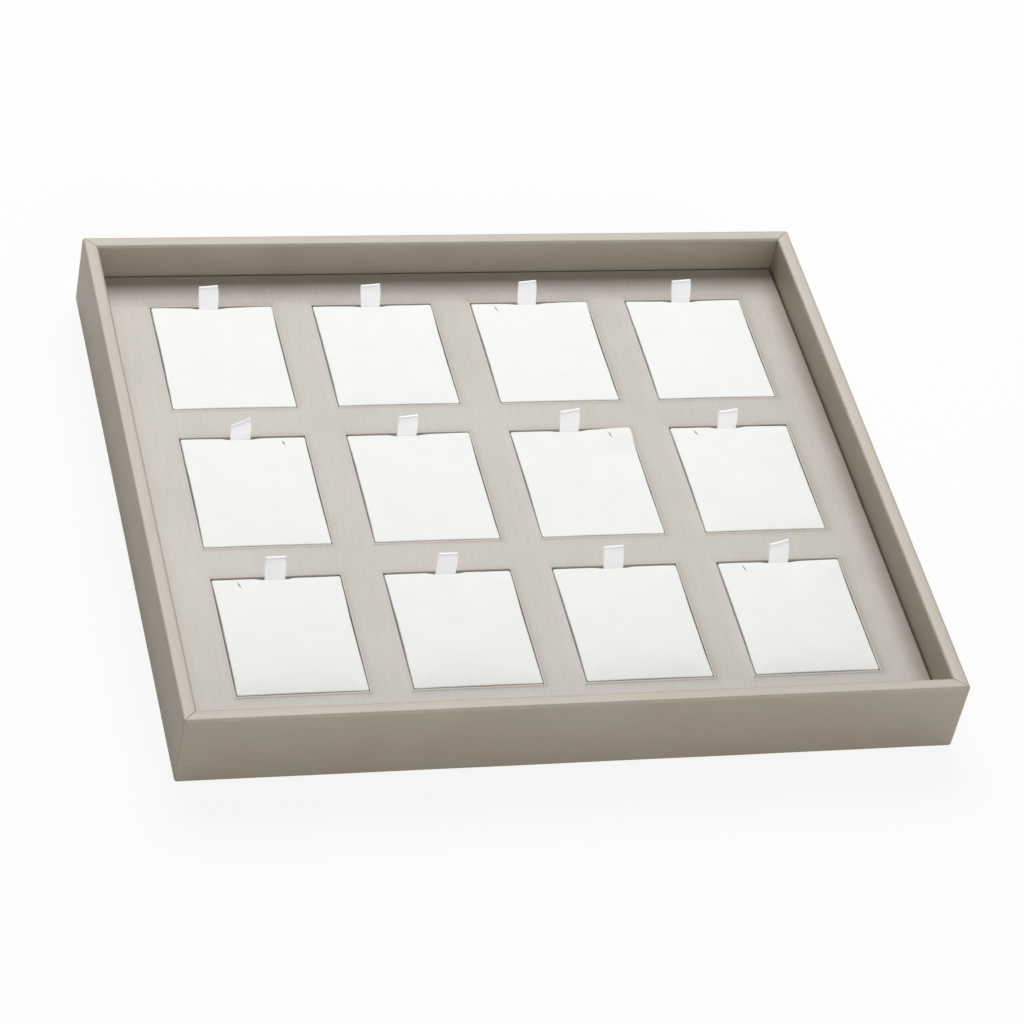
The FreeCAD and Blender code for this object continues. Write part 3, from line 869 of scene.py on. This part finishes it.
def padCutter(name, form):
    # what is open in the wrap: the underside's middle, the ribbon's notch, the flaps' mitres, the slits
    points, faces = [], []
    overrun = pad["cutOverrun"]
    halfX, halfY = form["width"] / 2 - pad["flap"], form["length"] / 2 - pad["flap"]
    gap, far = pad["mitreGap"], pad["flap"] - pad["footRadius"]
    outline = []
    for sx, sy in ((-1, -1), (1, -1), (1, 1), (-1, 1)):
        tip = (sx * (halfX + far), sy * (halfY + far))
        sides = [(sx * halfX, sy * (halfY - gap)), tip, (sx * (halfX - gap), sy * halfY)]
        outline += sides if sx * sy > 0 else sides[::-1]
        if (sx, sy) == (1, 1):
            back, shift = form["length"] / 2 + overrun, tabShapes[name][0] * mm
            right, left = shift + pad["notch"] / 2, shift - pad["notch"] / 2
            outline += [(right, halfY), (right, back), (left, back), (left, halfY)]
    prism(points, faces, outline, -overrun, pad["skin"])
    for side in (-1, 1):
        wide = pad["openSlit"] if (name, side) in openSlits else pad["shutSlit"]
        x = side * (form["width"] / 2 - pad["slitSide"])
        y = form["length"] / 2 - pad["slitBack"] - pad["edgeRadius"]
        lean, far = pad["slitLean"], pad["slitLength"]
        middleX, middleY = x + lean * 0.5, y - far * 0.5
        outline = [(x, y), (middleX - wide / 2, middleY), (x + lean, y - far), (middleX + wide / 2, middleY)]
        prism(points, faces, outline, form["height"] - pad["slitDepth"], form["height"] + overrun)
    mesh = bpy.data.meshes.new("cutter_" + name)
    mesh.from_pydata(points, [], faces)
    cutter = bpy.data.objects.new("cutter_" + name, mesh)
    cutter.location = form["middle"]
    scene.collection.objects.link(cutter)
    return cutter


forms = {name: startForm(name, 20 + 5 * order) for order, name in enumerate(padNames)}
swollen = inflate(forms)
print("pads swollen")
for name, form in forms.items():
    points = [form["middle"] + p for p in crownPad(form, swollen.get(name))]
    piece = addPiece("wrapped_pad_" + name, points, form["faces"], whiteLeatherette)
    finer = piece.modifiers.new("finer", "SUBSURF")
    finer.levels = finer.render_levels = 1
    cutter = padCutter(name, form)
    cut = piece.modifiers.new("cut", "BOOLEAN")
    cut.operation, cut.solver, cut.object = "DIFFERENCE", "EXACT", cutter
    graph = bpy.context.evaluated_depsgraph_get()
    mesh = bpy.data.meshes.new_from_object(piece.evaluated_get(graph), depsgraph=graph)
    piece.modifiers.clear()
    piece.data = mesh
    mesh.name = piece.name
    bpy.data.objects.remove(cutter)
    mesh.shade_smooth()
    mesh.set_sharp_from_angle(angle=math.radians(40))
    setIn(piece, "pad_" + name, "white_leatherette", "pad_%s_cover" % name, "pad_%s_foam" % name)
print("pads wrapped")

# Ribbon tabs: a ribbon folded double, its tail under the board, its loop standing behind the pad
ribbon = {
    "thickness": 0.22 * mm,
    "backPly": 0.45 * mm,
    "frontPly": 0.95 * mm,
    "tailHeight": 0.5 * mm,
    "turnRadius": 0.4 * mm,
    "innerTurn": 0.3 * mm,
    "rootRise": 8.9 * mm,
    "loopDepth": 1.4 * mm,
    "setBack": 0.45 * mm,
    "shorter": 0.4 * mm,
    "bulge": 0.12 * mm,
    "curl": 0.15 * mm,
    "columns": 12,
}


def ribbonPath(low, high):
    # the folded ribbon's middle line: tail, up the back ply, over the loop, down the front ply, tail
    half, turn, inner = ribbon["thickness"] / 2, ribbon["turnRadius"], ribbon["innerTurn"]
    back = high.y + ribbon["setBack"] - ribbon["backPly"] - half
    front = high.y + ribbon["setBack"] - ribbon["frontPly"] + half
    lower, upper = low.z + half, low.z + ribbon["tailHeight"] - half
    root = low.z + ribbon["rootRise"]
    reach = ribbon["loopDepth"] / 2 - half
    middle = (back + front) / 2
    crest = high.z - reach - half
    path = [(low.y + (back - turn - low.y) * i / 6, lower) for i in range(7)]
    for angle in map(math.radians, (22, 45, 68, 90)):
        path.append((back - turn * (1 - math.sin(angle)), lower + turn * (1 - math.cos(angle))))
    rise = [root * (1 - i / 3) + (lower + 2 * turn) * (i / 3) for i in (2, 1, 0)]
    path += [(back, z) for z in rise]
    steps = [i / 8 for i in range(1, 9)]
    gap = (back - front) / 2
    spread = [gap + (reach - gap) * smooth(0.25, 1.0, t) for t in steps]
    path += [(middle + wide, root + (crest - root) * t) for t, wide in zip(steps, spread)]
    for angle in map(math.radians, range(20, 180, 20)):
        path.append((middle + reach * math.cos(angle), crest + reach * math.sin(angle)))
    path += [(middle - wide, root + (crest - root) * t) for t, wide in reversed(list(zip(steps, spread)))]
    path += [(front, z) for z in reversed(rise)]
    path.append((front - 0.4 * inner, upper + 0.2 * inner))
    path += [(low.y + (front - inner - low.y) * i / 6, upper) for i in range(6, -1, -1)]
    return path, root


def buildTab(name):
    low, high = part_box("pad_%s_tab" % name)
    path, root = ribbonPath(low, high)
    shift, leftTop, leftHeight, rightTop, rightHeight = [value * mm for value in tabShapes[name]]
    centre, halfWidth = (low.x + high.x) / 2, (high.x - low.x) / 2
    columns, half = ribbon["columns"], ribbon["thickness"] / 2
    points = []
    for index, (y, z) in enumerate(path):
        before, after = path[max(index - 1, 0)], path[min(index + 1, len(path) - 1)]
        run = Vector((after[0] - before[0], after[1] - before[1])).normalized()
        normal = Vector((run.y, -run.x))
        for side in (1, -1):
            for column in range(columns + 1):
                across = 2 * column / columns - 1
                py, pz = y + side * half * normal.x, z + side * half * normal.y
                share = max(0, (pz - root) / (high.z - root))
                foot = shift + across * halfWidth
                top = leftTop + (rightTop - leftTop) * (across + 1) / 2
                rise = leftHeight + (rightHeight - leftHeight) * (across + 1) / 2 - ribbon["shorter"]
                bulge = ribbon["bulge"] * across * math.sin(math.pi * min(1, share))
                px = centre + foot + (top - foot) * share + bulge
                py += ribbon["curl"] * share * across * (rightHeight - leftHeight) / mm * (across + 1) / 2
                points.append((px, py, root + share * rise if share > 0 else pz))
    size = columns + 1
    faces = []
    for index in range(len(path) - 1):
        here, there = index * 2 * size, (index + 1) * 2 * size
        for column in range(columns):
            a, b = here + column, there + column
            faces.append((a, a + 1, b + 1, b))
            a, b = here + size + column, there + size + column
            faces.append((a, b, b + 1, a + 1))
        faces.append((here, there, there + size, here + size))
        here, there = here + columns, there + columns
        faces.append((here, here + size, there + size, there))
    for start, turned in ((0, False), ((len(path) - 1) * 2 * size, True)):
        for column in range(columns):
            face = (start + column, start + size + column, start + size + column + 1, start + column + 1)
            faces.append(face[::-1] if turned else face)
    piece = addPiece("ribbon_tab_" + name, points, faces, satinRibbon, sharpAngle=60)
    setIn(piece, "pad_" + name, "satin_ribbon", "pad_%s_tab" % name)
    # so thin and pale that neither its shadow nor its glow shows on the white pad
    piece.visible_shadow = piece.visible_diffuse = False


for name in padNames:
    buildTab(name)
print("tabs folded")

# CAD pieces that stay as they are
for name, node in nodes.items():
    material = None
    if name == "base_board" or name.endswith("_wall"):
        material = rawFibreboard
    if name.endswith("_board") and name.startswith("pad_"):
        material = greyboard
    if material:
        node.data.materials.clear()
        node.data.materials.append(material)
print("boards coloured")
